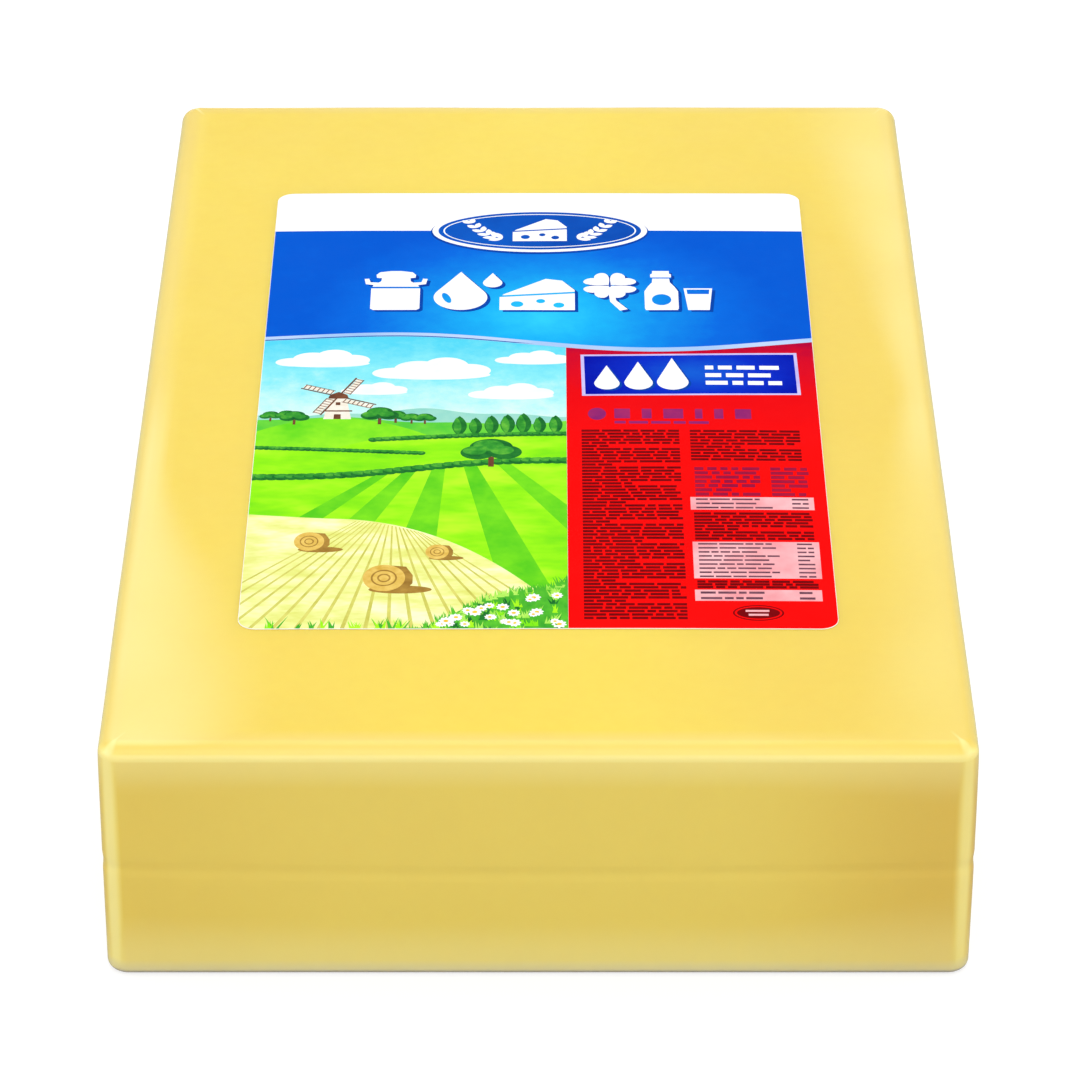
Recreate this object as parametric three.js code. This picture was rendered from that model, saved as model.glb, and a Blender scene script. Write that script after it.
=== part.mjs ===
// A whole block of Edam cheese: the flat rectangular kind that is pressed in a mould, ripened in a
// tight clear film and sold to counters and kitchens, with one printed label on its top.
// Millimetres, +Z up. The block stands on z = 0 with the origin under its middle, its length along Y.
import * as THREE from 'three';
import { LoftGeometry } from 'three/addons/geometries/LoftGeometry.js';

// Driving sizes of the block
const BLOCK_WIDTH = 300;
const BLOCK_LENGTH = 500;
const BLOCK_HEIGHT = 95;
const CORNER_RADIUS = 8; // of the four upright corners
const TOP_EDGE_RADIUS = 6;
const BASE_EDGE_RADIUS = 3;
const CROWN = 1.2; // rise of the top face from its edges to its middle
const SIDE_BULGE = 0.2; // how far the sides stand out at half height

// The mould line: a shallow groove round all four sides, where the two halves of the mould met
const MOULD_LINE_HEIGHT = 42.5;
const MOULD_LINE_SAG = 2.2; // how far the line wanders up and down
const MOULD_LINE_WIDTH = 8;
const MOULD_LINE_DEPTH = 0.3;

// Driving sizes of the label
const LABEL_WIDTH = 211;
const LABEL_LENGTH = 337;
const LABEL_THICKNESS = 0.3;
const LABEL_CORNER_RADIUS = 6.5;
const LABEL_CENTRE_Y = -5.8; // the label lies a little nearer to the front
const LABEL_GAP = 0.3; // clearance between the block's facets and the label's

// How finely the forms are divided
const CORNER_STEPS = 8;
const WIDTH_STEPS = 10;
const LENGTH_STEPS = 16;
const EDGE_STEPS = 6;
const LABEL_STEPS = { across: 22, along: 34, corner: 4 };

const flatHalfWidth = BLOCK_WIDTH / 2 - SIDE_BULGE - TOP_EDGE_RADIUS;
const flatHalfLength = BLOCK_LENGTH / 2 - SIDE_BULGE - TOP_EDGE_RADIUS;

// Height of the block's top face: level along its four edges and crowned between them.
function topHeight(x, y) {
  const acrossRise = 1 - Math.min(1, Math.abs(x) / flatHalfWidth) ** 4;
  const alongRise = 1 - Math.min(1, Math.abs(y) / flatHalfLength) ** 4;
  return BLOCK_HEIGHT - CROWN * (1 - acrossRise * alongRise);
}

// The block's outline seen from above, drawn in by inset, as points in counterclockwise order.
function blockOutline(inset) {
  const radius = CORNER_RADIUS - inset;
  const halfWidth = BLOCK_WIDTH / 2 - CORNER_RADIUS;
  const halfLength = BLOCK_LENGTH / 2 - CORNER_RADIUS;
  const corners = [
    [halfWidth, halfLength], [-halfWidth, halfLength], [-halfWidth, -halfLength], [halfWidth, -halfLength],
  ];
  const points = [];
  corners.forEach(([x, y], quarter) => {
    for (let i = 0; i <= CORNER_STEPS; i++) {
      const angle = ((quarter + i / CORNER_STEPS) * Math.PI) / 2;
      points.push(new THREE.Vector2(x + radius * Math.cos(angle), y + radius * Math.sin(angle)));
    }
    const sideStart = points.at(-1);
    const [nextX, nextY] = corners[(quarter + 1) % corners.length];
    const sideEnd = new THREE.Vector2(
      nextX + radius * Math.cos(((quarter + 1) * Math.PI) / 2),
      nextY + radius * Math.sin(((quarter + 1) * Math.PI) / 2),
    );
    const steps = quarter % 2 === 0 ? WIDTH_STEPS : LENGTH_STEPS;
    for (let i = 1; i < steps; i++) points.push(sideStart.clone().lerp(sideEnd, i / steps));
  });
  return points;
}

// How far the side is drawn in at height z: the sides bulge gently and are widest at half height.
function sideInset(z) {
  return SIDE_BULGE * (2 * z / BLOCK_HEIGHT - 1) ** 2;
}

// The mould line wanders a little as it runs round: lowest in the middle of each side.
function mouldLineOffset(x, y) {
  const acrossFront = Math.cos((Math.PI * x) / BLOCK_WIDTH);
  const alongSide = Math.cos((Math.PI * y) / BLOCK_LENGTH);
  return MOULD_LINE_SAG * (1 - acrossFront - alongSide);
}

// One level of the block: its outline at that inset and height. follow is the share of the mould
// line's wandering that the level takes.
function level(inset, z, follow = 0) {
  return blockOutline(inset).map(({ x, y }) => new THREE.Vector3(x, y, z + follow * mouldLineOffset(x, y)));
}

function baseEdge() {
  const sideStart = sideInset(0);
  return Array.from({ length: EDGE_STEPS }, (_, i) => {
    const angle = ((i / EDGE_STEPS) * Math.PI) / 2;
    const inset = sideStart + BASE_EDGE_RADIUS * (1 - Math.sin(angle));
    return level(inset, BASE_EDGE_RADIUS * (1 - Math.cos(angle)));
  });
}

function lowerSide() {
  return [BASE_EDGE_RADIUS, 15, 25, 34].map((z, i) => level(sideInset(z), z, i / 4));
}

function mouldLine() {
  const crossSteps = [-1, -0.5, 0, 0.5, 1];
  return crossSteps.map((t) => {
    const z = MOULD_LINE_HEIGHT + (t * MOULD_LINE_WIDTH) / 2;
    const depth = MOULD_LINE_DEPTH * Math.cos((t * Math.PI) / 2) ** 2;
    return level(sideInset(z) + depth, z, 1);
  });
}

function upperSide() {
  return [54, 64, 76].map((z, i) => level(sideInset(z), z, (3 - i) / 4));
}

function topEdge() {
  const edgeHeight = BLOCK_HEIGHT - CROWN;
  return Array.from({ length: EDGE_STEPS + 1 }, (_, i) => {
    const angle = ((i / EDGE_STEPS) * Math.PI) / 2;
    const inset = SIDE_BULGE + TOP_EDGE_RADIUS * (1 - Math.cos(angle));
    return level(inset, edgeHeight - TOP_EDGE_RADIUS * (1 - Math.sin(angle)));
  });
}

// The crowned top: rings that shrink from the edge's inner rim towards the middle.
function topFace() {
  const rim = blockOutline(SIDE_BULGE + TOP_EDGE_RADIUS);
  const shares = [0.97, 0.93, 0.87, 0.79, 0.69, 0.56, 0.4, 0.2, 0.04];
  return shares.map((share) => rim.map(({ x, y }) => {
    return new THREE.Vector3(x * share, y * share, topHeight(x * share, y * share));
  }));
}

function cheeseBlock() {
  const sections = [
    ...baseEdge(), ...lowerSide(), ...mouldLine(), ...upperSide(), ...topEdge(), ...topFace(),
  ];
  const geometry = new LoftGeometry(sections, { capStart: true, capEnd: true });
  const cheese = new THREE.MeshStandardMaterial({ color: '#fbd865', roughness: 0.35, metalness: 0 });
  const mesh = new THREE.Mesh(geometry, cheese);
  mesh.name = 'cheese_block';
  return mesh;
}

// Spreads a box's even grid lines so that the first and last few lie inside the corner radius.
function gridPlace(place, half, steps) {
  const index = Math.round(((place / half + 1) / 2) * steps);
  const fine = LABEL_STEPS.corner;
  const inner = half - LABEL_CORNER_RADIUS;
  if (index <= fine) return -half + (index / fine) * LABEL_CORNER_RADIUS;
  if (index >= steps - fine) return half - ((steps - index) / fine) * LABEL_CORNER_RADIUS;
  return -inner + (2 * inner * (index - fine)) / (steps - 2 * fine);
}

// Pulls the square corners of the grid onto the label's round ones.
function roundCorner(point, halfWidth, halfLength) {
  const inner = new THREE.Vector2(
    THREE.MathUtils.clamp(point.x, LABEL_CORNER_RADIUS - halfWidth, halfWidth - LABEL_CORNER_RADIUS),
    THREE.MathUtils.clamp(point.y, LABEL_CORNER_RADIUS - halfLength, halfLength - LABEL_CORNER_RADIUS),
  );
  const out = point.clone().sub(inner);
  const length = out.length();
  if (length > 0) out.multiplyScalar(Math.max(Math.abs(out.x), Math.abs(out.y)) / length);
  return inner.add(out);
}

function label() {
  const halfWidth = LABEL_WIDTH / 2;
  const halfLength = LABEL_LENGTH / 2;
  const { across, along } = LABEL_STEPS;
  const geometry = new THREE.BoxGeometry(LABEL_WIDTH, LABEL_LENGTH, LABEL_THICKNESS, across, along, 1);
  const place = geometry.attributes.position;
  for (let i = 0; i < place.count; i++) {
    const onGrid = new THREE.Vector2(
      gridPlace(place.getX(i), halfWidth, across),
      gridPlace(place.getY(i), halfLength, along),
    );
    const { x, y } = roundCorner(onGrid, halfWidth, halfLength);
    const lift = LABEL_GAP + LABEL_THICKNESS / 2 + place.getZ(i);
    place.setXYZ(i, x, y + LABEL_CENTRE_Y, topHeight(x, y + LABEL_CENTRE_Y) + lift);
  }
  geometry.computeVertexNormals();
  const paper = new THREE.MeshStandardMaterial({ color: '#1f74dd', roughness: 0.4, metalness: 0 });
  const mesh = new THREE.Mesh(geometry, paper);
  mesh.name = 'label';
  return mesh;
}

const edamBlock = new THREE.Group();
edamBlock.add(cheeseBlock(), label());

export default edamBlock;
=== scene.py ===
import math
import random

import bpy
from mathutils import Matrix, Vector, noise
from mathutils.geometry import delaunay_2d_cdt


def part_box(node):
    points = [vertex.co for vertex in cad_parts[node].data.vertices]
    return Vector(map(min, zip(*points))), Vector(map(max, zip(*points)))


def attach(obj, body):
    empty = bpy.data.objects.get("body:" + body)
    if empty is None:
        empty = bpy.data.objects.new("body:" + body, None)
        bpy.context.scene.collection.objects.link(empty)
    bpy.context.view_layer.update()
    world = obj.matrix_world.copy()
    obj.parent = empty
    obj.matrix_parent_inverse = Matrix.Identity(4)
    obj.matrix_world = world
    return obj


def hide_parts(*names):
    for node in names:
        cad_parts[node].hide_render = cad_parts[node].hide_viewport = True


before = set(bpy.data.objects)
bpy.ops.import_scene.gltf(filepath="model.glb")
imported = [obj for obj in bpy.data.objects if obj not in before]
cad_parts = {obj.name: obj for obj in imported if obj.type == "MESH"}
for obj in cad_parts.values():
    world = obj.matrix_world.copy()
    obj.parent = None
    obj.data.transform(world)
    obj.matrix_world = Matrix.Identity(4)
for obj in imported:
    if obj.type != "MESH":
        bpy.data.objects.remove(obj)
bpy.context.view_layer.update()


# The cheese is one flat block of Edam, pressed in a two-part mould and ripened in a clear film
# that is drawn tight over it. The mould leaves a shallow line round all four sides and rounded
# edges, and the film gives the smooth paste its shine.

MM = 0.001
_, block_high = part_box("cheese_block")
HALF_WIDTH = block_high.x / MM
HALF_LENGTH = block_high.y / MM
BLOCK_HEIGHT = block_high.z / MM
CORNER_RADIUS = 8
TOP_EDGE_RADIUS = 6
BASE_EDGE_RADIUS = 3
CROWN = 1.2  # rise of the top from its edges to its middle
SIDE_BULGE = 0.2
MOULD_LINE_HEIGHT = 42.5
MOULD_LINE_SAG = 2.2
MOULD_LINE_WIDTH = 8
MOULD_LINE_DEPTH = 0.3
BROAD_SWELL, BROAD_SPAN = 0.20, 74  # the long waves of the pressed surface: height and length
CLOSE_SWELL, CLOSE_SPAN = 0.035, 21
SWELL_ROOM = 0.12  # keeps the highest of the swell inside the mould
FACE_SIZE = 5  # about the size of the mesh's faces on the flat sides
CORNER_STEPS = 16
BASE_EDGE_STEPS = 10
LOWER_SIDE_STEPS = 10
MOULD_LINE_STEPS = 14
UPPER_SIDE_STEPS = 12
TOP_EDGE_STEPS = 14
TOP_RINGS = 44
flat_half_width = HALF_WIDTH - SIDE_BULGE - TOP_EDGE_RADIUS
flat_half_length = HALF_LENGTH - SIDE_BULGE - TOP_EDGE_RADIUS


def swell(x, y, z):
    """The slight unevenness of a pressed block at a point, in millimetres outward."""
    place = Vector((x, y, z))
    broad = noise.noise(place / BROAD_SPAN + Vector((3.1, 8.4, 1.7)))
    close = noise.noise(place / CLOSE_SPAN + Vector((9.2, 2.6, 5.5)))
    return BROAD_SWELL * broad + CLOSE_SWELL * close - SWELL_ROOM


def top_height(x, y):
    """Height of the crowned top, with its unevenness."""
    across = 1 - min(1, abs(x) / flat_half_width) ** 4
    along = 1 - min(1, abs(y) / flat_half_length) ** 4
    return BLOCK_HEIGHT - CROWN * (1 - across * along) + swell(x, y, BLOCK_HEIGHT)


def block_outline(inset):
    """Points round the block, drawn in by inset, each with its outward direction."""
    radius = CORNER_RADIUS - inset
    reach_x, reach_y = HALF_WIDTH - CORNER_RADIUS, HALF_LENGTH - CORNER_RADIUS
    corners = [(reach_x, reach_y), (-reach_x, reach_y), (-reach_x, -reach_y), (reach_x, -reach_y)]
    points = []
    for quarter, (x, y) in enumerate(corners):
        for step in range(CORNER_STEPS + 1):
            angle = (quarter + step / CORNER_STEPS) * math.pi / 2
            out = Vector((math.cos(angle), math.sin(angle), 0))
            points.append((Vector((x, y, 0)) + radius * out, out))
        start, out = points[-1]
        next_corner = corners[(quarter + 1) % len(corners)]
        end = Vector((*next_corner, 0)) + radius * out
        steps = round((end - start).length / FACE_SIZE)
        points += [(start.lerp(end, i / steps), out) for i in range(1, steps)]
    return points


def side_inset(z):
    """How far the bulging side is drawn in at a height: it is widest half way up."""
    return SIDE_BULGE * (2 * z / BLOCK_HEIGHT - 1) ** 2


def mould_line_offset(x, y):
    """How far the mould line stands above its mean height: it is lowest mid-side."""
    across = math.cos(math.pi * x / (2 * HALF_WIDTH))
    along = math.cos(math.pi * y / (2 * HALF_LENGTH))
    return MOULD_LINE_SAG * (1 - across - along)


def block_levels():
    """Each level of the sides and edges: its inset, its height, its share of the mould line's
    wandering, and how far the surface tilts up there."""
    line_low = MOULD_LINE_HEIGHT - MOULD_LINE_WIDTH / 2
    line_high = MOULD_LINE_HEIGHT + MOULD_LINE_WIDTH / 2
    edge_top = BLOCK_HEIGHT - CROWN
    levels = []
    for step in range(BASE_EDGE_STEPS):
        tilt = (step / BASE_EDGE_STEPS - 1) * math.pi / 2
        inset = side_inset(0) + BASE_EDGE_RADIUS * (1 - math.cos(tilt))
        levels.append((inset, BASE_EDGE_RADIUS * (1 + math.sin(tilt)), 0, tilt))
    for step in range(LOWER_SIDE_STEPS):
        share = step / LOWER_SIDE_STEPS
        z = BASE_EDGE_RADIUS + share * (line_low - BASE_EDGE_RADIUS)
        levels.append((side_inset(z), z, share, 0))
    for step in range(MOULD_LINE_STEPS + 1):
        across = 2 * step / MOULD_LINE_STEPS - 1
        z = MOULD_LINE_HEIGHT + across * MOULD_LINE_WIDTH / 2
        depth = MOULD_LINE_DEPTH * math.cos(across * math.pi / 2) ** 2
        levels.append((side_inset(z) + depth, z, 1, 0))
    side_top = edge_top - TOP_EDGE_RADIUS
    for step in range(1, UPPER_SIDE_STEPS):
        share = step / UPPER_SIDE_STEPS
        z = line_high + share * (side_top - line_high)
        levels.append((side_inset(z), z, 1 - share, 0))
    for step in range(TOP_EDGE_STEPS + 1):
        tilt = step / TOP_EDGE_STEPS * math.pi / 2
        inset = SIDE_BULGE + TOP_EDGE_RADIUS * (1 - math.cos(tilt))
        levels.append((inset, side_top + TOP_EDGE_RADIUS * math.sin(tilt), 0, tilt))
    return levels


def ease(value, low, high):
    """0 below low, 1 above high, and a smooth change between them."""
    share = max(0, min(1, (value - low) / (high - low)))
    return share * share * (3 - 2 * share)


def side_tones(x, y, z, tilt, out):
    """Painted light on the sides and edges: how much painted highlight, painted shade and painted
    shadow at the foot each point gets. The pale painted highlight runs along the rounded edges and
    near the top and the foot. Between them lies a warmer, darker painted shade, most towards the
    right upright corners. The painted shadow lies where the side turns in at the foot."""
    turn = math.degrees(tilt)
    corner_turn = math.degrees(math.atan2(abs(out.x), abs(out.y)))
    rounding = ease(corner_turn, 0, 26) * (1 - ease(corner_turn, 40, 62))
    place = abs(x) / HALF_WIDTH if abs(out.y) > abs(out.x) else abs(y) / HALF_LENGTH
    to_corner = ease(place, 0.4, 0.95) * (1 if x > 0 else 0.4)
    less = 1 - 0.25 * to_corner
    # painted highlights: along the near top edge, in a band below the top, above the foot and on
    # the upright corners' rounding
    upper_edge = 0.8 * ease(turn, 0, 5) * (1 - ease(turn, 22, 45))
    below_top = 0.58 * ease(z, 70, 88) * less * (1 - 0.75 * ease(turn, 20, 75))
    foot = 1 - ease(z, 2.5, 7)
    above_foot = (0.64 * (1 - ease(z, 3, 36)) + 0.3 * foot) * less
    pale = max(upper_edge, 0.95 * less * rounding, below_top, above_foot, 0.24 * (1 - to_corner))
    # painted shade: warmer and darker on the sides, most towards the right corners, and where the
    # top edge turns over
    shade_paint = (0.5 + 0.5 * to_corner) * (1 - ease(turn, 0, 12)) * (1 - less ** 2 * rounding)
    shade_paint = max(shade_paint, 0.5 * ease(turn, 25, 50))
    # painted shadow where the side turns in under the foot
    return pale, shade_paint, max(0.4 * foot, ease(-turn, 3, 30))


def top_tones(x, y):
    """The same painted light for the top. A pale painted highlight runs inside each long edge,
    widest towards the near left and at both ends on the right. The painted shade is warmer and
    darker away from the middle, most on the right, and less so at the far end. The top has no
    painted shadow."""
    inward = flat_half_width - abs(x)
    near = 0.5 - y / (2 * flat_half_length)
    if x < 0:
        strength, reach = 0.15 + 0.5 * ease(near, 0.42, 0.6), 8 + 50 * ease(near, 0.6, 0.95)
    else:
        strength, reach = 0.24 + 0.26 * ease(1 - near, 0.25, 0.5), 9 + 36 * abs(2 * near - 1)
    pale = strength * (1 - ease(inward, 1, reach)) * (1 + 0.4 * noise.noise(Vector((x, y, 0)) / 50))
    shade_paint = 0.14 + 0.16 * ease(abs(x) / flat_half_width, 0.1, 0.7)
    shade_paint += 0.12 * ease(x / flat_half_width, 0.1, 0.6)
    return pale, shade_paint * (0.5 + 0.5 * ease(near, 0.05, 0.4)), 0


def cheese_mesh():
    """Level upon level from the foot to the rim, then rings that shrink to the top's middle. Each
    point carries its painted highlight, painted shade and painted shadow at the foot."""
    rings, tones = [], []
    for inset, z, follow, tilt in block_levels():
        ring = []
        for place, out in block_outline(inset):
            x, y = place.x, place.y
            height = z + follow * mould_line_offset(x, y)
            normal = out * math.cos(tilt) + Vector((0, 0, math.sin(tilt)))
            bump = swell(x, y, height) * min(1, z / BASE_EDGE_RADIUS)
            ring.append(Vector((x, y, height)) + normal * bump)
            on_top = ease(math.degrees(tilt), 30, 90)
            for_side, for_top = side_tones(x, y, height, tilt, out), top_tones(x, y)
            tones.append([max(a, on_top * b) for a, b in zip(for_side, for_top)])
        rings.append(ring)
    rim = block_outline(SIDE_BULGE + TOP_EDGE_RADIUS)
    for step in range(1, TOP_RINGS):
        share = 1 - step / TOP_RINGS
        ring = [(place.x * share, place.y * share) for place, _ in rim]
        rings.append([Vector((x, y, top_height(x, y))) for x, y in ring])
        tones += [top_tones(x, y) for x, y in ring]
    count = len(rim)
    vertices = [point * MM for ring in rings for point in ring]
    faces = []
    for level in range(len(rings) - 1):
        for i in range(count):
            a, b = level * count + i, level * count + (i + 1) % count
            faces.append((a, b, b + count, a + count))
    top = (len(rings) - 1) * count
    base_centre, top_centre = len(vertices), len(vertices) + 1
    vertices += [Vector((0, 0, 0)), Vector((0, 0, top_height(0, 0) * MM))]
    tones += [(0, 0, 0), (0, 0, 0)]
    for i in range(count):
        after = (i + 1) % count
        faces.append((after, i, base_centre))
        faces.append((top + i, top + after, top_centre))
    mesh = bpy.data.meshes.new("cheese")
    mesh.from_pydata(vertices, [], faces)
    # the painted highlight, painted shade and painted foot shadow of each point
    for name, values in zip(("painted_highlight", "painted_shade", "painted_foot_shadow"), zip(*tones)):
        mesh.attributes.new(name, "FLOAT", "POINT").data.foreach_set("value", values)
    mesh.shade_smooth()
    return mesh


def new_material(name):
    """A new material and its shader."""
    material = bpy.data.materials.new(name)
    material.use_nodes = True
    return material, material.node_tree.nodes["Principled BSDF"]


def add_node(material, kind, *, options=None, **values):
    """Adds a node. options are its own settings, and values go to its inputs: a number, a colour or
    another node's output."""
    made = material.node_tree.nodes.new("ShaderNode" + kind)
    for option, setting in (options or {}).items():
        setattr(made, option, setting)
    for socket, value in values.items():
        slot = made.inputs[int(socket[1:]) if socket[1:].isdigit() else socket.replace("_", " ")]
        if isinstance(value, bpy.types.NodeSocket):
            material.node_tree.links.new(value, slot)
        else:
            slot.default_value = value
    return made


def colour(red, green, blue):
    """A colour as a painter reads it off a screen, 0 to 255, for a shader's socket."""
    def linear(part):
        part /= 255
        return part / 12.92 if part <= 0.04045 else ((part + 0.055) / 1.055) ** 2.4
    return (linear(red), linear(green), linear(blue), 1)


def ramp(material, factor, stops):
    """A run of colours from (place, colour) stops."""
    made = add_node(material, "ValToRGB", Fac=factor)
    elements = made.color_ramp.elements
    elements[0].position, elements[0].color = stops[0]
    elements[1].position, elements[1].color = stops[-1]
    for place, shade in stops[1:-1]:
        elements.new(place).color = shade
    return made.outputs["Color"]


def mixed(material, factor, first, second):
    """Two colours mixed by a factor: 0 gives the first and 1 the second."""
    made = add_node(
        material, "Mix", options={"data_type": "RGBA"}, _0=factor, _6=first, _7=second,
    )
    return made.outputs[2]


def cheese_material():
    """Dense yellow paste under a clear film: cloudy in the mass, with a pale painted highlight
    along the edges, a warmer, darker painted shade on the sides and a painted shadow at the foot.
    """
    material, shader = new_material("cheese_in_film")
    place = add_node(material, "TexCoord").outputs["Object"]
    clouds = add_node(
        material, "TexNoise", Vector=place, Scale=14, Detail=3, Roughness=0.5,
    ).outputs["Fac"]
    curd = add_node(
        material, "TexNoise", Vector=place, Scale=210, Detail=2, Roughness=0.6,
    ).outputs["Fac"]
    paste = ramp(material, clouds, [
        (0.30, colour(245, 214, 38)),
        (0.52, colour(247, 218, 43)),
        (0.74, colour(248, 221, 52)),
    ])
    grain = ramp(material, curd, [
        (0.35, colour(243, 210, 34)),
        (0.65, colour(250, 225, 55)),
    ])
    mass = mixed(material, 0.16, paste, grain)
    # the painted highlight, painted shade and painted foot shadow that the mesh carries
    pale, shade_paint, foot_shadow_paint = (
        add_node(material, "Attribute", options={"attribute_name": name}).outputs["Fac"]
        for name in ("painted_highlight", "painted_shade", "painted_foot_shadow")
    )
    # painted shade: a warmer, darker paste on the sides and towards the edges of the top
    shaded_paste = mixed(material, shade_paint, mass, colour(230, 193, 78))
    # painted highlight: a pale paste laid over the edges and bands
    highlighted_paste = mixed(material, pale, shaded_paste, colour(254, 239, 152))
    # painted shadow at the foot: a greyer, darker paste where the block meets the floor
    shader_colour = mixed(material, foot_shadow_paint, highlighted_paste, colour(208, 197, 172))
    links = material.node_tree.links
    links.new(shader_colour, shader.inputs["Base Color"])
    film = add_node(
        material, "TexNoise", Vector=place, Scale=38, Detail=2,
    ).outputs["Fac"]
    roughness = add_node(
        material, "MapRange", Value=film, From_Min=0.3, From_Max=0.7, To_Min=0.40, To_Max=0.50,
    ).outputs["Result"]
    links.new(roughness, shader.inputs["Roughness"])
    relief = add_node(
        material, "Bump", Strength=0.12, Distance=0.0006, Height=curd,
    ).outputs["Normal"]
    links.new(relief, shader.inputs["Normal"])
    shader.subsurface_method = "BURLEY"
    shader.inputs["Subsurface Weight"].default_value = 0.35
    shader.inputs["Subsurface Radius"].default_value = (1.0, 0.62, 0.22)
    shader.inputs["Subsurface Scale"].default_value = 0.012
    shader.inputs["IOR"].default_value = 1.45
    shader.inputs["Coat Weight"].default_value = 0.8
    shader.inputs["Coat Roughness"].default_value = 0.16
    shader.inputs["Coat IOR"].default_value = 1.49
    return material


def add_piece(name, mesh):
    """Puts a mesh in the scene as a piece of the block's one body."""
    piece = bpy.data.objects.new(name, mesh)
    bpy.context.scene.collection.objects.link(piece)
    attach(piece, "root")
    return piece


cheese = add_piece("cheese", cheese_mesh())
cheese.data.materials.append(cheese_material())
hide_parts("cheese_block")


# The label is one sheet of white coated paper with round corners, stuck flat on the film. Places
# on it are given in millimetres: u from its left edge, v from its far edge.

label_low, label_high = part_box("label")
LABEL_WIDTH = (label_high.x - label_low.x) / MM
LABEL_LENGTH = (label_high.y - label_low.y) / MM
LABEL_CORNER = 6.5
PAPER_LIFT = 0.12
PAPER_THICKNESS = 0.26
PAPER_ROUGHNESS = 0.55
MARGIN = 0.2  # white paper left round the print
ROUND_STEPS = 8
SHEET_FACE_SIZE = 6
POINTS_MEET = 1e-5  # points nearer than this become one


def on_block(u, v):
    """The place on the block that lies under a place on the label."""
    return Vector((label_low.x / MM + u, label_high.y / MM - v))


def round_corner(u, v, radius, quarter):
    """A quarter circle about a point; quarter counts from the near right, then goes left."""
    angles = [(quarter + step / ROUND_STEPS) * math.pi / 2 for step in range(ROUND_STEPS + 1)]
    return [(u + radius * math.cos(a), v + radius * math.sin(a)) for a in angles]


def label_outline():
    """The sheet's outline, near right corner first."""
    far, near = LABEL_CORNER, LABEL_LENGTH - LABEL_CORNER
    left, right = LABEL_CORNER, LABEL_WIDTH - LABEL_CORNER
    return (
        round_corner(right, near, LABEL_CORNER, 0) + round_corner(left, near, LABEL_CORNER, 1)
        + round_corner(left, far, LABEL_CORNER, 2) + round_corner(right, far, LABEL_CORNER, 3)
    )


def sheet_mesh(name, shapes, lift, thickness):
    """A closed thin sheet that follows the block's top. shapes is a list of (material, outline) in
    the order of printing: the first is the sheet itself, and a later one covers the earlier."""
    points, loops = [], []
    for _, outline in shapes:
        ring = []
        for start, end in zip(outline, outline[1:] + outline[:1]):
            start, end = on_block(*start), on_block(*end)
            parts = max(1, math.ceil((end - start).length / SHEET_FACE_SIZE))
            ring += [start.lerp(end, part / parts) for part in range(parts)]
        area = sum(a.cross(b) for a, b in zip(ring, ring[1:] + ring[:1]))
        if area < 0:
            ring.reverse()
        loops.append(list(range(len(points), len(points) + len(ring))))
        points += ring
    sheet = points[:len(loops[0])]
    low_x, high_x = min(p.x for p in sheet), max(p.x for p in sheet)
    low_y, high_y = min(p.y for p in sheet), max(p.y for p in sheet)
    across = round((high_x - low_x) / SHEET_FACE_SIZE)
    along = round((high_y - low_y) / SHEET_FACE_SIZE)
    for i in range(1, across):
        for j in range(1, along):
            x = low_x + (high_x - low_x) * i / across
            points.append(Vector((x, low_y + (high_y - low_y) * j / along)))
    inside_only = 1
    flat, _, triangles, _, _, covers = delaunay_2d_cdt(
        points, [], loops, inside_only, POINTS_MEET,
    )
    kept = [(face, max(cover)) for face, cover in zip(triangles, covers) if 0 in cover]
    used = sorted({corner for face, _ in kept for corner in face})
    index = {corner: place for place, corner in enumerate(used)}
    count = len(used)
    vertices = []
    for height in (lift + thickness, lift):
        for corner in used:
            x, y = flat[corner]
            vertices.append(Vector((x, y, top_height(x, y) + height)) * MM)
    materials = list(dict.fromkeys(material for material, _ in shapes))
    faces, shades, edges = [], [], {}
    for face, cover in kept:
        a, b, c = (index[corner] for corner in face)
        shade = materials.index(shapes[cover][0])
        faces += [(a, b, c), (c + count, b + count, a + count)]
        shades += [shade, 0]
        for start, end in ((a, b), (b, c), (c, a)):
            edges[start, end] = shade
    for (start, end), shade in edges.items():
        if (end, start) not in edges:
            faces.append((end, start, start + count, end + count))
            shades.append(shade)
    mesh = bpy.data.meshes.new(name)
    mesh.from_pydata(vertices, [], faces)
    for material in materials:
        mesh.materials.append(material)
    mesh.polygons.foreach_set("material_index", shades)
    mesh.shade_smooth()
    mesh.set_sharp_from_angle(angle=math.radians(40))
    return mesh


def coated(material, shader):
    """The fine tooth and the soft shine that all of the printed sheet has."""
    place = add_node(material, "TexCoord").outputs["Object"]
    tooth = add_node(
        material, "TexNoise", Vector=place, Scale=900, Detail=2,
    ).outputs["Fac"]
    patch = add_node(
        material, "TexNoise", Vector=place, Scale=60, Detail=2,
    ).outputs["Fac"]
    roughness = add_node(
        material, "MapRange", Value=patch, From_Min=0.3, From_Max=0.7,
        To_Min=PAPER_ROUGHNESS - 0.05, To_Max=PAPER_ROUGHNESS + 0.05,
    ).outputs["Result"]
    relief = add_node(
        material, "Bump", Strength=0.05, Distance=0.0002, Height=tooth,
    ).outputs["Normal"]
    links = material.node_tree.links
    links.new(roughness, shader.inputs["Roughness"])
    links.new(relief, shader.inputs["Normal"])
    shader.inputs["Specular IOR Level"].default_value = 0.01


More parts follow.
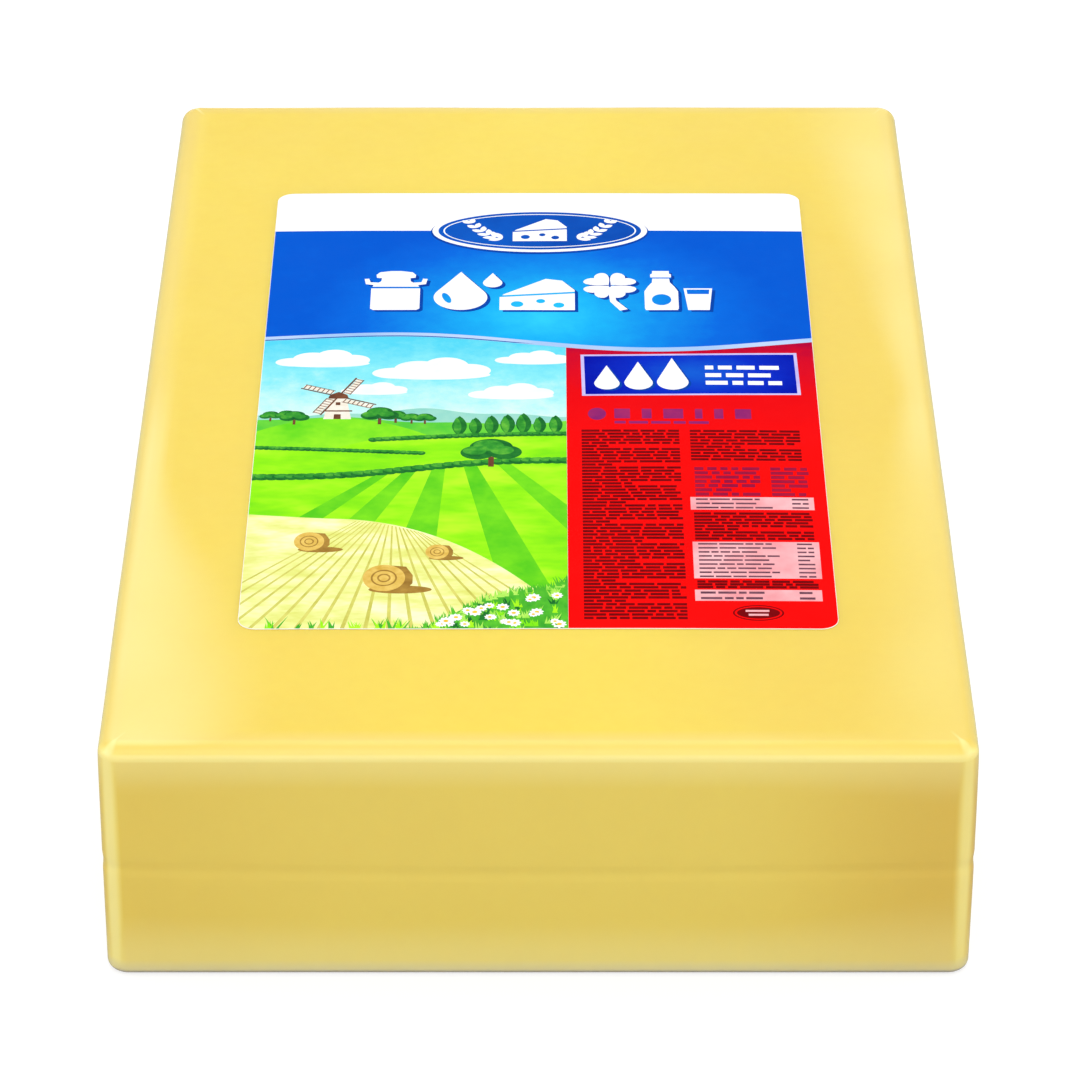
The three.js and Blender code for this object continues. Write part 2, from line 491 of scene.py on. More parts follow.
def ink(name, *shades, grain=40, stretch=(1, 1, 1)):
    """A printed colour: the shades run into each other in soft patches of about 1/grain metre."""
    material, shader = new_material(name)
    place = add_node(material, "TexCoord").outputs["Object"]
    stretched = add_node(material, "Mapping", Vector=place, Scale=stretch).outputs["Vector"]
    patches = add_node(
        material, "TexNoise", Vector=stretched, Scale=grain, Detail=3, Roughness=0.6,
    ).outputs["Fac"]
    low, high = 0.3, 0.7
    last = len(shades) - 1
    stops = [(low + (high - low) * i / last, shade) for i, shade in enumerate(shades)]
    material.node_tree.links.new(ramp(material, patches, stops), shader.inputs["Base Color"])
    coated(material, shader)
    return material


white_paper = ink("white_paper", colour(252, 252, 250), colour(255, 255, 255))
paper_mesh = sheet_mesh(
    "label_paper", [(white_paper, label_outline())], PAPER_LIFT, PAPER_THICKNESS,
)
paper = add_piece("label_paper", paper_mesh)
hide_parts("label")


# The blue field crosses the whole label and glows towards its lower middle. It ends in a wave
# with a pale line below. An oval badge stands over its upper edge, and a row of five white
# dairy signs with blue shadows stands in it. All of this is ink on the paper.

BLUE_TOP = 33.5
WAVE_HEIGHT = 6
WAVE_MIDDLE = 125.5
LINE_WIDTH = 3.2
PRINT_LIFT = PAPER_LIFT + PAPER_THICKNESS + 0.02  # just clear of the paper
PRINT_THICKNESS = 0.05
PRINT_CORNER = LABEL_CORNER - MARGIN
LEAF_PAIRS = 6  # on each branch of the badge
field_left, field_right = MARGIN, LABEL_WIDTH - MARGIN


def wave(u):
    """Lower end of the blue field."""
    rise = 3 * max(0, 1 - u / 50) ** 2
    return WAVE_MIDDLE - WAVE_HEIGHT * math.sin(math.pi * u / 100) - rise


def run(first, last, step=4):
    """Even places from first to last, about a step apart."""
    count = max(1, round(abs(last - first) / step))
    return [first + (last - first) * i / count for i in range(count + 1)]


def turned(points, u, v, turn=0, size=1):
    """Points about (0, 0), turned in degrees, sized and set at a place."""
    cos, sin = size * math.cos(math.radians(turn)), size * math.sin(math.radians(turn))
    return [(u + x * cos - y * sin, v + x * sin + y * cos) for x, y in points]


def oval(u, v, across, along, turn=0, count=40):
    """An oval by its half sizes."""
    angles = [2 * math.pi * i / count for i in range(count)]
    return turned([(across * math.cos(a), along * math.sin(a)) for a in angles], u, v, turn)


def bar(u, v, width, height):
    """An upright rectangle from its far left corner."""
    return [(u, v), (u + width, v), (u + width, v + height), (u, v + height)]


def leaf(u, v, length, width, turn=0):
    """A leaf from its foot. Turn 0 points away, up the label."""
    half = [(width / 2 * math.sin(math.pi * t) ** 0.8, -length * t) for t in run(0, 1, 0.1)]
    return turned(half + [(-x, y) for x, y in reversed(half[1:-1])], u, v, turn)


def milk_drop(u, v, radius, height):
    """A drop with its tip up, by its lowest point."""
    lean = math.acos(radius / (height - radius))
    round_end = [
        (u + radius * math.sin(a), v - radius - radius * math.cos(a))
        for a in run(lean, 2 * math.pi - lean, 0.14)
    ]
    return [(u, v - height)] + round_end


def churn():
    """A milk churn: body, shoulders, neck and lid, two handles; a band round it left open."""
    half = [(8.4, 0), (9.6, -1.2), (9.6, -18), (8.8, -20.6), (5.8, -24), (5.6, -26.6), (7.6, -27)]
    half += [(7.8, -29.4), (6.4, -31.6), (2, -32.6)]
    body = half + [(-x, y) for x, y in reversed(half)]
    handle = [(7, -20.4), (11.8, -21.6), (12.4, -26), (10.6, -26.2), (10, -23.2), (6.4, -22.8)]
    return [body, handle, [(-x, y) for x, y in handle]], [bar(-9.6, -19.4, 19.2, 1.4)]


def drops():
    """A large milk drop with a shine left open, and a small one beside it."""
    shine = oval(-7.4, -10, 1.5, 4.4, turn=-16)
    return [milk_drop(-2, 0, 10.5, 32), milk_drop(10.5, -19, 3.8, 12)], [shine]


def wedge():
    """A wedge of cheese, with the line of its top and three eyes left open."""
    body = [(-15, 0), (-15, -11), (-13.4, -13.4), (3.4, -26.6), (10, -25), (15, -17), (15, 0)]
    eyes = [oval(-8, -5, 2.5, 2.5), oval(1.4, -7.6, 1.8, 1.8), oval(8.6, -4.2, 2.2, 2.2)]
    rim = [(-15, -12.4), (15, -15.6), (15, -14.2), (-15, -11)]
    return [body], eyes + [rim]


def clover():
    """A four-leafed clover on its stalk. Each leaf is a heart."""
    heart = []
    for t in run(0, 2 * math.pi, 0.2)[:-1]:
        rise = 13 * math.cos(t) - 5 * math.cos(2 * t) - 2 * math.cos(3 * t)
        heart.append((5.8 * math.sin(t) ** 3, -6.2 - 0.36 * rise))
    stalk = [(-0.9, -19), (0.9, -19), (2.4, -8), (6.8, -0.8), (3.8, 0.4), (0, -7)]
    return [stalk] + [turned(heart, 0, -20.5, turn) for turn in (45, 135, 225, 315)], []


def bottle_and_glass():
    """A milk bottle with a round window and a line under its cap, and a tumbler nearly full."""
    half = [(6.2, 0), (6.6, -1.4), (6.6, -15.5), (5.2, -19.5), (3.5, -23), (3.3, -26.8)]
    half += [(4.1, -27.4), (4.1, -29.8), (3.3, -30.4), (3.3, -32.6)]
    bottle = half + [(-x, y) for x, y in reversed(half)]
    tumbler = [(-4.2, 0), (-5.6, -18), (5.6, -18), (4.2, 0)]
    above_milk = [(-4.5, -17), (4.5, -17), (4.2, -13.2), (-4.2, -13.2)]
    openings = [oval(0, -8.6, 3.8, 4.6), bar(-4.2, -27.2, 8.4, 1)]
    return (
        [turned(bottle, -6.4, 0), turned(tumbler, 8, 0)],
        [turned(opening, -6.4, 0) for opening in openings] + [turned(above_milk, 8, 0)],
    )


def spray(side):
    """A curved branch of leaves, for one side of the badge."""
    leaves_out = []
    for pair in range(LEAF_PAIRS):
        along = pair / (LEAF_PAIRS - 1)
        u, v = side * (15 + 13 * along), 7 - 13.5 * along ** 1.5
        for lean in (-38, 38):
            turn = side * (62 - 50 * along + lean)
            leaves_out.append(leaf(u, v, 5.6 - 1.6 * along, 2.5, turn=turn))
    return leaves_out


def faded_ink(name, stops, centre, reach, turn=0, kind="LINEAR", fleck=0.08):
    """A printed colour that fades from a place over a reach, in a line or round about."""
    material, shader = new_material(name)
    start = on_block(*centre) * MM
    place = add_node(material, "TexCoord").outputs["Object"]
    spread = add_node(
        material, "Mapping", options={"vector_type": "TEXTURE"}, Vector=place,
        Location=(start.x, start.y, block_high.z), Rotation=(0, 0, math.radians(turn)),
        Scale=(reach[0] * MM, reach[1] * MM, 1),
    ).outputs["Vector"]
    fade = add_node(
        material, "TexGradient", options={"gradient_type": kind}, Vector=spread,
    ).outputs["Fac"]
    specks = add_node(
        material, "TexNoise", Vector=place, Scale=110, Detail=4, Roughness=0.65,
    ).outputs["Fac"]
    stray = add_node(
        material, "MapRange", Value=specks, From_Min=0.3, From_Max=0.7, To_Min=-fleck, To_Max=fleck,
    ).outputs["Result"]
    level = add_node(material, "Math", _0=fade, _1=stray).outputs["Value"]
    material.node_tree.links.new(ramp(material, level, stops), shader.inputs["Base Color"])
    coated(material, shader)
    return material


def print_piece(name, shapes):
    """A sheet of print that lies on the paper."""
    add_piece(name, sheet_mesh(name, shapes, PRINT_LIFT, PRINT_THICKNESS))


field_blue = faded_ink("field_blue", [
    (0.0, colour(0, 88, 208)),
    (0.25, colour(4, 104, 220)),
    (0.5, colour(14, 140, 232)),
    (0.78, colour(26, 178, 242)),
    (1.0, colour(46, 202, 248)),
], centre=(107, 107), reach=(92, 82), kind="SPHERICAL", fleck=0.05)
white_ink = ink("white_ink", colour(250, 252, 254), colour(255, 255, 255), grain=120)
shadow_blue = ink("shadow_blue", colour(2, 62, 160), colour(4, 74, 176), grain=80)
badge_blue = ink("badge_blue", colour(6, 70, 170), colour(12, 92, 198), grain=26)
line_blue = ink("line_blue", colour(150, 190, 238), colour(196, 214, 246), grain=22)
deep_blue = ink("deep_blue", colour(10, 76, 160), colour(22, 96, 184), grain=60)

across_back = run(field_right, field_left)
far_corners = (
    round_corner(LABEL_CORNER, LABEL_CORNER, PRINT_CORNER, 2)
    + round_corner(LABEL_WIDTH - LABEL_CORNER, LABEL_CORNER, PRINT_CORNER, 3)
)
blue_edge = [(field_left, BLUE_TOP), (field_right, BLUE_TOP)]
blue_shapes = [
    (white_paper, far_corners + [(u, wave(u) + LINE_WIDTH) for u in across_back]),
    (line_blue, blue_edge + [(u, wave(u) + LINE_WIDTH) for u in across_back]),
    (field_blue, blue_edge + [(u, wave(u)) for u in across_back]),
    (deep_blue, [(u, wave(u) + 2.4) for u in run(field_left, 104)]
     + [(u, wave(u) + 3.1) for u in run(96, field_left)]),
]
SIGNS_FOOT = 101
SHADOW_U, SHADOW_V = 1.3, 1.6
signs = [
    (churn, 49.5, 1), (drops, 77, 1), (wedge, 105, 0.98), (clover, 133.5, 1),
    (bottle_and_glass, 160, 1),
]
for sign, u, size in signs:
    for body in sign()[0]:
        shadow = turned(body, u + SHADOW_U, SIGNS_FOOT + SHADOW_V, size=size)
        blue_shapes.append((shadow_blue, shadow))
for sign, u, size in signs:
    bodies, openings = sign()
    blue_shapes += [(white_ink, turned(body, u, SIGNS_FOOT, size=size)) for body in bodies]
    blue_shapes += [(field_blue, turned(opening, u, SIGNS_FOOT, size=size)) for opening in openings]

BADGE_U, BADGE_V = 106, 33.6
BADGE_WEDGE_SIZE = 0.72
for shade, across, along in (
    (shadow_blue, 43.6, 19.4), (white_ink, 43, 18.6), (badge_blue, 40.6, 16.4),
    (white_ink, 38.6, 14.6), (badge_blue, 38, 14.0),
):
    lower = 1 if shade is shadow_blue else 0  # the shadow falls a little nearer
    blue_shapes.append((shade, oval(BADGE_U, BADGE_V + lower, across, along, count=72)))
bodies, openings = wedge()
for shade, parts in ((white_ink, bodies), (badge_blue, openings)):
    for part in parts:
        blue_shapes.append((shade, turned(part, BADGE_U, BADGE_V + 9, size=BADGE_WEDGE_SIZE)))
for side in (-1, 1):
    blue_shapes += [(white_ink, turned(part, BADGE_U, BADGE_V)) for part in spray(side)]
print_piece("label_blue", blue_shapes)


# The picture fills the left half below the blue: a bright painted landscape with a windmill on a
# hill, poplars and hedges, mown meadows, a ripe field with bales, and daisies in front. It is
# printed in layers, the far ones first.

PICTURE_RIGHT = 116
PICTURE_NEAR = LABEL_LENGTH - MARGIN
GAP = 0.1  # between neighbouring fields of print
TUFT_COUNT, DAISY_COUNT, NEAR_TUFT_COUNT = 70, 26, 14
draw = random.Random(11)

sky = faded_ink("sky", [
    (0.0, colour(84, 212, 240)),
    (0.45, colour(136, 232, 242)),
    (1.0, colour(218, 250, 240)),
], centre=(0, 124), reach=(66, 66), turn=-90, fleck=0.16)
cloud = ink("cloud", colour(236, 250, 252), colour(255, 255, 255), grain=70)
far_hill = ink("far_hill", colour(128, 206, 196), colour(168, 224, 206), grain=60)
near_hill = ink("near_hill", colour(78, 198, 62), colour(128, 224, 62), grain=70)
mill_hill = ink("mill_hill", colour(96, 214, 34), colour(152, 240, 42), grain=55)
meadow = ink(
    "meadow", colour(108, 220, 28), colour(148, 240, 26), colour(188, 248, 46), grain=38,
    stretch=(0.7, 1.6, 1),
)
mown = ink("mown", colour(86, 202, 32), colour(128, 228, 34), grain=70)
leaves = ink("leaves", colour(34, 122, 44), colour(58, 156, 52), colour(104, 190, 62), grain=190)
dark_leaves = ink("dark_leaves", colour(18, 92, 42), colour(44, 134, 50), grain=190)
ripe_field = ink(
    "ripe_field", colour(226, 230, 118), colour(242, 246, 158), colour(252, 252, 204), grain=60,
    stretch=(1, 2.4, 1),
)
furrow = ink("furrow", colour(196, 192, 84), colour(224, 220, 116), grain=140)
straw = ink("straw", colour(214, 172, 70), colour(242, 208, 112), grain=240)
straw_shade = ink("straw_shade", colour(150, 112, 48), colour(184, 144, 66), grain=240)
mill_white = ink("mill_white", colour(236, 226, 206), colour(250, 246, 236), grain=200)
mill_brown = ink("mill_brown", colour(96, 58, 44), colour(134, 84, 58), grain=200)
grass = ink("grass", colour(52, 158, 46), colour(96, 200, 52), grain=90, stretch=(2, 1, 1))
blade_light = ink("blade_light", colour(142, 222, 66), colour(196, 244, 110), grain=160)
flower_yellow = ink("flower_yellow", colour(244, 186, 30), colour(255, 216, 64), grain=260)


def land(crest, left=MARGIN, right=PICTURE_RIGHT):
    """Ground from its crest, a function of u, down to the near edge of the picture."""
    line = [(u, min(crest(u), PICTURE_NEAR - 0.4)) for u in run(left, right, 2.5)]
    return line + [(right, PICTURE_NEAR), (left, PICTURE_NEAR)]


def heap_of_cloud(u, v, size):
    """Round puffs on a long flat foot."""
    puffs = [
        (-12, 0, 7, 3.4), (-5, -2.6, 7.4, 5), (3.4, -4, 7, 5.8), (10.5, -1.4, 6.6, 4.2),
        (0, 1.2, 17, 3),
    ]
    return [oval(u + x * size, v + y * size, a * size, b * size) for x, y, a, b in puffs]


def hedge(crest, left, right, size):
    """Round bushes along a line, with lit tops."""
    shapes = []
    for u in run(left, right, size * 1.15):
        across = size * draw.uniform(0.8, 1.25)
        lit = oval(u - size * 0.15, crest(u) - size * 0.3, across * 0.72, size * 0.46)
        shapes += [(dark_leaves, oval(u, crest(u), across, size * 0.78)), (leaves, lit)]
    return shapes


def poplar(u, v, height):
    """A slim tree by the middle of its foot, with a lit streak."""
    return [
        (mill_brown, bar(u - 0.45, v - 2.4, 0.9, 2.8)),
        (dark_leaves, leaf(u, v - 1.4, height, height * 0.36)),
        (leaves, leaf(u - 0.5, v - 2.4, height * 0.86, height * 0.2, turn=-3)),
    ]


def broad_tree(u, v, size):
    """A tree with a crown of three rounds, by the middle of its foot, lit from the left."""
    shapes = [(mill_brown, bar(u - 0.7 * size, v - 4 * size, 1.4 * size, 5 * size))]
    crowns = [(-3.4, -6, 4.2, 3.4), (3.4, -6.2, 4.2, 3.4), (0, -8.6, 5.4, 4.2)]
    for x, y, across, along in crowns:
        shapes.append((dark_leaves, oval(u + x * size, v + y * size, across * size, along * size)))
    for x, y, across, along in crowns:
        half_across, half_along = across * 0.7 * size, along * 0.62 * size
        lit = oval(u + (x - 0.7) * size, v + (y - 1) * size, half_across, half_along)
        shapes.append((leaves, lit))
    return shapes


def windmill(u, v, size):
    """A tower mill by the middle of its foot: tower, cap, door, gallery and four lattice sails."""
    tower = [(-4.2, 0), (-2.5, -13), (2.5, -13), (4.2, 0)]
    cap = [(-3.2, -12.6), (-2.6, -15), (0, -16.8), (2.6, -15), (3.2, -12.6)]
    shapes = [
        (mill_white, turned(tower, u, v, size=size)),
        (mill_brown, turned(cap, u, v, size=size)),
        (mill_brown, turned(bar(-4.4, -5.4, 8.8, 0.8), u, v, size=size)),
        (mill_brown, turned([(-1.1, 0), (-1, -3), (1, -3), (1.1, 0)], u, v, size=size)),
        (mill_brown, turned(bar(-0.7, -10.4, 1.4, 1.8), u, v, size=size)),
    ]
    hub_v = v - 14 * size
    for quarter in range(4):
        turn = 24 + 90 * quarter
        shapes.append((mill_brown, turned(bar(-0.3, -12.6, 0.6, 12.6), u, hub_v, turn, size)))
        shapes.append((mill_white, turned(bar(0.5, -12.2, 2.1, 9.8), u, hub_v, turn, size)))
        for place in run(-12, -3, 1.6):
            shapes.append((mill_brown, turned(bar(0.4, place, 2.2, 0.35), u, hub_v, turn, size)))
        shapes.append((mill_brown, turned(bar(2.5, -12.2, 0.35, 9.9), u, hub_v, turn, size)))
    return shapes + [(mill_brown, oval(u, hub_v, 1.1 * size, 1.1 * size))]


def bale(u, v, size):
    """A round bale of straw by the middle of its foot, lit from the left."""
    middle = v - size
    shapes = [(straw_shade, oval(u + 0.5 * size, v - 0.12 * size, 1.25 * size, 0.3 * size))]
    body = [(-0.2, -1), (0.7, -0.86), (0.98, -0.2), (0.98, 0.4), (0.7, 0.94), (-0.2, 1)]
    shapes.append((straw_shade, turned(body, u, middle, size=size)))
    shapes.append((straw, oval(u - 0.16 * size, middle, 0.84 * size, size)))
    for ring in (0.62, 0.32):
        shapes.append((straw_shade, oval(u - 0.16 * size, middle, 0.84 * ring * size, ring * size)))
        inner = ring - 0.09
        shapes.append((straw, oval(u - 0.16 * size, middle, 0.84 * inner * size, inner * size)))
    return shapes


def tuft(u, v, height, material):
    """A few blades of grass from one root."""
    shapes = []
    for _ in range(draw.randint(4, 6)):
        lean, tall = draw.uniform(-0.45, 0.45), height * draw.uniform(0.6, 1)
        tip = (u + lean * tall, v - tall)
        shapes.append((material, [(u - 0.55, v), (u + 0.55, v), tip]))
        u += draw.uniform(-0.8, 0.9)
    return shapes


def daisy(u, v, size):
    """A daisy by its middle: a stalk, nine petals and a yellow eye."""
    foot = v + 3.6 * size
    shapes = [(grass, [(u - 0.3, v), (u + 0.3, v), (u + 0.9, foot), (u + 0.2, foot)])]
    petal_count = 9
    petal_turn = 360 / petal_count
    start = draw.uniform(0, petal_turn)
    for petal in range(petal_count):
        turn = start + petal_turn * petal
        shapes.append((white_ink, leaf(u, v, 2.5 * size, 1.35 * size, turn=turn)))
    return shapes + [(flower_yellow, oval(u, v, 0.85 * size, 0.75 * size, count=16))]


corner = round_corner(LABEL_CORNER, LABEL_LENGTH - LABEL_CORNER, PRINT_CORNER, 1)
picture_top = [(u, wave(u) + LINE_WIDTH + GAP) for u in run(field_left, PICTURE_RIGHT)]
picture = [(sky, picture_top + [(PICTURE_RIGHT, PICTURE_NEAR)] + corner)]
clouds = ((24, 143, 1.0), (66, 152, 1.25), (104, 142, 0.8), (44, 166, 0.7), (96, 169, 0.9))
for u, v, size in clouds:
    picture += [(cloud, puff) for puff in heap_of_cloud(u, v, size)]


def far_crest(u):
    """Far edge of the farthest hills. Each crest below is the far edge of one layer of ground."""
    return 183 + 2.6 * math.sin(u / 15 + 0.6) + 1.1 * math.sin(u / 5.7)


def near_crest(u):
    return 189 + 2.4 * math.sin(u / 21 + 3.6) + 0.8 * math.sin(u / 7.1)


def mill_crest(u):
    return 187 + 0.011 * (u - 30) ** 2


def mill_hedge(u):
    return 209 + 0.07 * u


def meadow_crest(u):
    """Far edge of the upper meadow: it leaves the hedge at the foot of the mill's hill."""
    risen = ease(u, 22, 46)
    return (1 - risen) * mill_hedge(u) + risen * (204 - 5 * math.sin((u - 36) / 80 * math.pi / 2))


def low_crest(u):
    return 231 - 0.10 * u + 2.2 * math.sin(u / 19)


def ripe_crest(u):
    return 258 + 4 * math.sin(u / 30) + 0.011 * max(0, u - 34) ** 2


def verge_crest(u):
    return 337 - 0.62 * max(0, u - 60) + 3 * math.sin(u / 8)


picture.append((far_hill, land(far_crest)))
picture.append((near_hill, land(near_crest)))
for u in (5, 11, 52, 58, 63):
    picture += broad_tree(u, near_crest(u) + 0.6, draw.uniform(0.45, 0.7))
picture.append((mill_hill, land(mill_crest)))
picture += windmill(30, 187.6, 1.25)
picture += broad_tree(46, mill_crest(46) + 0.8, 0.95)
picture += broad_tree(14, mill_crest(14) + 1.2, 0.75)
for u in run(76, 112, 6):
    picture += poplar(u, meadow_crest(u) + 1.6, draw.uniform(13, 17))
picture.append((meadow, land(meadow_crest)))
picture += hedge(meadow_crest, 44, PICTURE_RIGHT, 2.2)
picture += hedge(mill_hedge, MARGIN, 62, 1.9)
picture.append((meadow, land(low_crest)))
STRIPE_WIDTH = 4.6  # at the far end; the mown stripes spread as they come nearer
STRIPE_SPREAD, STRIPE_SHIFT = 4.76, 273
for left in (47.3, 56.6, 66.6, 77.6, 89.3):
    right = left + STRIPE_WIDTH
    stripe = [(left, low_crest(left)), (right, low_crest(right))]
    stripe += [(STRIPE_SPREAD * u - STRIPE_SHIFT, PICTURE_NEAR - 1) for u in (right, left)]
    picture.append((mown, stripe))
picture += hedge(low_crest, MARGIN, PICTURE_RIGHT, 3.1)
picture += broad_tree(88, low_crest(88) + 2, 1.5)
picture.append((ripe_field, land(ripe_crest, right=112)))
FURROW_CLOSING, FURROW_SHIFT = 0.16, 44  # the furrows draw together as they run away
FURROW_END = 338
for near in run(-30, 118, 8):
    far = FURROW_SHIFT + near * FURROW_CLOSING
    start = ripe_crest(far) + 1
    line = [(far, start), (far + 0.5, start), (near + 1.5, FURROW_END), (near, FURROW_END)]
    picture.append((furrow, line))
picture += bale(70, 290, 5)
picture += bale(24, 284, 6.5)
picture += bale(52, 312, 9)
picture.append((grass, land(verge_crest, left=58)))
for u in run(60, 115, 1.5):
    picture += tuft(u, verge_crest(u) + 2, draw.uniform(4, 8), draw.choice((grass, blade_light)))
for _ in range(TUFT_COUNT):
    u = draw.uniform(66, 115)
    v = draw.uniform(verge_crest(u) + 5, PICTURE_NEAR + 4)
    picture += tuft(u, v, draw.uniform(4, 8), draw.choice((blade_light, meadow, dark_leaves)))
for _ in range(DAISY_COUNT):
    u = draw.uniform(70, 114)
    picture += daisy(u, draw.uniform(verge_crest(u) + 2, PICTURE_NEAR - 2), draw.uniform(0.7, 1.15))
for _ in range(NEAR_TUFT_COUNT):
    u = draw.uniform(1, 62)
    picture += tuft(u, PICTURE_NEAR + 1, draw.uniform(5, 10), draw.choice((grass, meadow)))
print_piece("label_picture", picture)


# The red field beside the picture is ink too, darker at its far edge. It carries a blue plaque
# with drops of milk, two columns of fine bars where a real label has its small print, three pale
# boxes and an oval stamp.

RED_LEFT = PICTURE_RIGHT + GAP

red = faded_ink("red", [
    (0.0, colour(176, 0, 56)),
    (0.12, colour(206, 4, 40)),
    (0.45, colour(232, 6, 16)),
    (1.0, colour(248, 8, 8)),
], centre=(0, 128), reach=(86, 86), turn=-90, fleck=0.05)
plaque_blue = faded_ink("plaque_blue", [
    (0.0, colour(0, 6, 160)),
    (0.5, colour(6, 44, 196)),
    (1.0, colour(16, 92, 210)),
], centre=(166, 152), reach=(48, 30), kind="SPHERICAL", fleck=0.06)
lilac = ink("lilac", colour(186, 176, 236), colour(214, 206, 248), grain=90)
purple = ink("purple", colour(132, 34, 112), colour(168, 44, 104), grain=80)
plum = ink("plum", colour(146, 18, 62), colour(172, 26, 58), grain=80)
wine = ink("wine", colour(104, 2, 8), colour(130, 6, 12), grain=120)
pink = ink("pink", colour(240, 156, 162), colour(250, 194, 198), grain=70)
type_grey = ink("type_grey", colour(96, 60, 76), colour(128, 84, 98), grain=160)


def words(material, left, right, v, height):
    """One line of bars of uneven length, as words stand in small print."""
    shapes = []
    u = left
    while u < right - 1.5:
        width = min(draw.uniform(2.4, 9), right - u)
        shapes.append((material, bar(u, v, width, height)))
        u += width + 0.6 * height
    return shapes


def paragraph(material, left, right, top, bottom, pitch=2.3, height=1.6):
    """Lines of words; the last line of each six ends short."""
    shapes = []
    for line, v in enumerate(run(top, bottom - height, pitch)):
        short = (right - left) * draw.uniform(0.3, 0.8) if line % 6 == 5 else 0
        shapes += words(material, left, right - short, v, height)
    return shapes


def pale_box(left, right, top, bottom, lines):
    """A pale box of even lines: words on the left, a short bar or two on the right."""
    shapes = [(pink, bar(left, top, right - left, bottom - top))]
    pitch = (bottom - top) / lines
    for line in range(lines):
        v, height = top + pitch * (line + 0.32), pitch * 0.4
        words_end = left + (right - left) * draw.uniform(0.5, 0.72)
        shapes += words(type_grey, left + 2, words_end, v, height)
        shapes += words(type_grey, right - 8, right - 2, v, height)
    return shapes


red_top = [(u, wave(u) + LINE_WIDTH + GAP) for u in run(RED_LEFT, field_right)]
corner = round_corner(LABEL_WIDTH - LABEL_CORNER, LABEL_LENGTH - LABEL_CORNER, PRINT_CORNER, 0)
panel = [(red, red_top + corner + [(RED_LEFT, PICTURE_NEAR)])]
panel.append((lilac, [(121.6, 137.4), (204.4, 135.6), (204.8, 168.6), (122, 170)]))
panel.append((plaque_blue, [(122.9, 138.6), (203.2, 136.9), (203.5, 167.4), (123.3, 168.8)]))
for u, radius, height in ((131.5, 4.8, 19), (143.5, 5.4, 22), (156.5, 6, 25)):
    panel.append((shadow_blue, milk_drop(u + 1, 166, radius, height)))
    panel.append((white_ink, milk_drop(u, 165, radius, height)))
for v, right in ((146, 198), (152, 194), (158, 198)):
    panel += words(white_ink, 169, right, v, 3)
panel.append((purple, oval(127.5, 184, 3.4, 4.6)))
panel += words(purple, 134, 186, 180, 7.4)
panel += words(purple, 134, 172, 189.4, 2)
panel += paragraph(wine, 121.6, 158, 196, 331)
panel += paragraph(wine, 162, 203, 196, 219)
panel += paragraph(plum, 163, 187, 224, 245, pitch=3.2, height=2.3)
panel += paragraph(plum, 191, 205, 224, 245, pitch=3.2, height=2.3)
panel += pale_box(161, 206, 246, 255, 3)
panel += paragraph(wine, 162, 205, 257, 276.4)
panel += pale_box(161, 206.5, 277.8, 303.2, 9)
panel += paragraph(wine, 162, 205, 304.6, 310)
panel += pale_box(161, 206, 311, 318.5, 2)
for shade, across, along in ((wine, 9, 5.2), (red, 8.4, 4.6), (wine, 7.6, 3.8)):
    panel.append((shade, oval(183, 326.6, across, along)))
panel += words(pink, 178.5, 187.5, 324.6, 1.3) + words(pink, 179.5, 186.5, 327.2, 1.3)
print_piece("label_panel", panel)


# The block stands alone on a pale seamless studio floor. Its paint is a mid grey that throws little
# light up at the block, and it glows for the camera alone, so that it looks as white as the room.

FLOOR_SIZE = 7
FLOOR_DROP = 0.0002  # keeps the floor clear of the block's underside

half = FLOOR_SIZE / 2
floor_corners = [(-half, -half, 0), (half, -half, 0), (half, half, 0), (-half, half, 0)]
floor_mesh = bpy.data.meshes.new("floor")
floor_mesh.from_pydata(floor_corners, [], [(0, 1, 2, 3)])
floor = bpy.data.objects.new("floor", floor_mesh)
bpy.context.scene.collection.objects.link(floor)
floor.location.z = -FLOOR_DROP
floor_paint, floor_shader = new_material("white_floor")
floor_mesh.materials.append(floor_paint)
floor_shader.inputs["Base Color"].default_value = (0.4, 0.4, 0.4, 1)
floor_shader.inputs["Roughness"].default_value = 0.8
floor_shader.inputs["Specular IOR Level"].default_value = 0.1
floor_shader.inputs["Emission Color"].default_value = (1, 1, 1, 1)
seen = add_node(floor_paint, "LightPath").outputs["Is Camera Ray"]
glow = add_node(floor_paint, "MapRange", Value=seen, To_Max=0.7).outputs["Result"]
floor_paint.node_tree.links.new(glow, floor_shader.inputs["Emission Strength"])


# The light is soft and white from all round: a bright room, a large lamp overhead, a high and a low
# one in front that draw the shine along the near edge, a small low one behind, and a large one at
# each side.

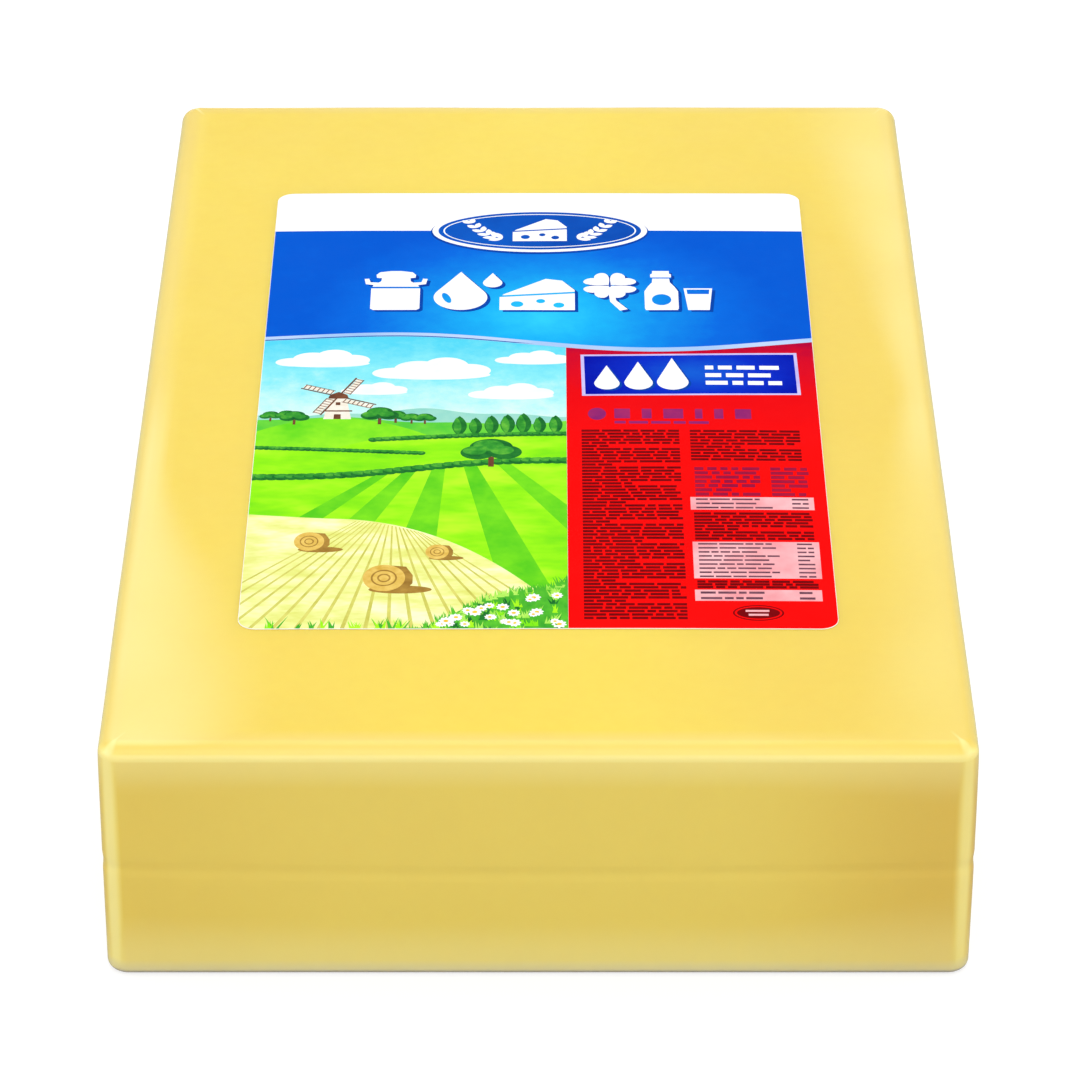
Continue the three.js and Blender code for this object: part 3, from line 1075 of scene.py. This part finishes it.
def soft_lamp(name, place, size, power, target=(0, 0, 0.05)):
    """A large rectangular lamp at a place, aimed at a target."""
    lamp = bpy.data.lights.new(name, "AREA")
    lamp.shape = "RECTANGLE"
    lamp.size, lamp.size_y = size
    lamp.energy = power
    made = bpy.data.objects.new(name, lamp)
    bpy.context.scene.collection.objects.link(made)
    made.location = place
    made.rotation_euler = (Vector(target) - Vector(place)).to_track_quat("-Z", "Y").to_euler()


soft_lamp("lamp_overhead", (0, 0.9, 2.2), (2.2, 2.2), 12, target=(0, 0.5, 0))
soft_lamp("lamp_high_front", (0, -1.9, 1.9), (2.4, 1.2), 4)
soft_lamp("lamp_low_front", (0, -2.4, 0.5), (2.8, 0.8), 6.8)
soft_lamp("lamp_low_back", (0, 2.4, 0.25), (1.6, 0.4), 2)
for side in (-1, 1):
    soft_lamp("lamp_side", (2.3 * side, -0.7, 0.62), (2.6, 1.2), 17)

room = bpy.data.worlds.new("white_room")
bpy.context.scene.world = room
room.use_nodes = True
background = room.node_tree.nodes["Background"]
background.inputs["Color"].default_value = (1, 1, 1, 1)
direction = add_node(room, "TexCoord").outputs["Generated"]
height = add_node(room, "SeparateXYZ", Vector=direction).outputs["Z"]
strength = add_node(room, "MapRange", Value=height, To_Min=0.57, To_Max=0.93).outputs["Result"]
room.node_tree.links.new(strength, background.inputs["Strength"])
bpy.context.scene.view_settings.view_transform = "Standard"


# The camera stands two metres off, in front of the block and above it, and looks down on it
# through a long lens.

CAMERA_DISTANCE = 2.054
CAMERA_PITCH = math.radians(30.63)
AIM = Vector((0.0006, 0.0469, 0))

camera = bpy.data.cameras.new("camera")
camera.sensor_width = 36
camera.lens = 172.82
camera_object = bpy.data.objects.new("camera", camera)
bpy.context.scene.collection.objects.link(camera_object)
back = Vector((0, -math.cos(CAMERA_PITCH), math.sin(CAMERA_PITCH)))
camera_object.location = AIM + CAMERA_DISTANCE * back
camera_object.rotation_euler = (math.pi / 2 - CAMERA_PITCH, 0, 0)
bpy.context.scene.camera = camera_object
